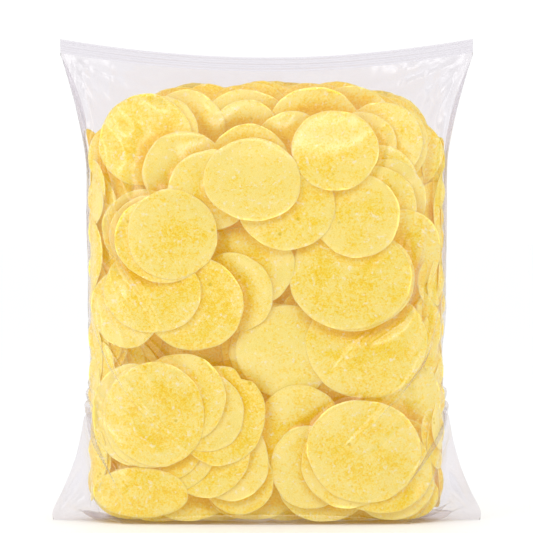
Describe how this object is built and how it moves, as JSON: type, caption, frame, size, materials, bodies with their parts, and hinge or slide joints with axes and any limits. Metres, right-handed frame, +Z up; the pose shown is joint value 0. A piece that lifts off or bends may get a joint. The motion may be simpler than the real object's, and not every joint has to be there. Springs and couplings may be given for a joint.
{
  "type": "pack of papad",
  "caption": "Clear sealed pillow bag standing on its flattened bottom, packed with round thin pale-yellow papads; flat heat seal across the top, flat film ears at the bottom corners.",
  "frame": {"origin": "on the floor under the middle of the bag", "axes": "+Z up towards the heat seal, -Y out of the front face, +X to the right along the seal"},
  "size_m": [0.28, 0.0796, 0.313],
  "materials": {
    "papad": "dry, mottled, slightly translucent papad behind clear film",
    "film": "clear glossy packing film, creased at its corners and sides"
  },
  "bodies": {
    "root": {"bag": "papad"}
  },
  "joints": []
}
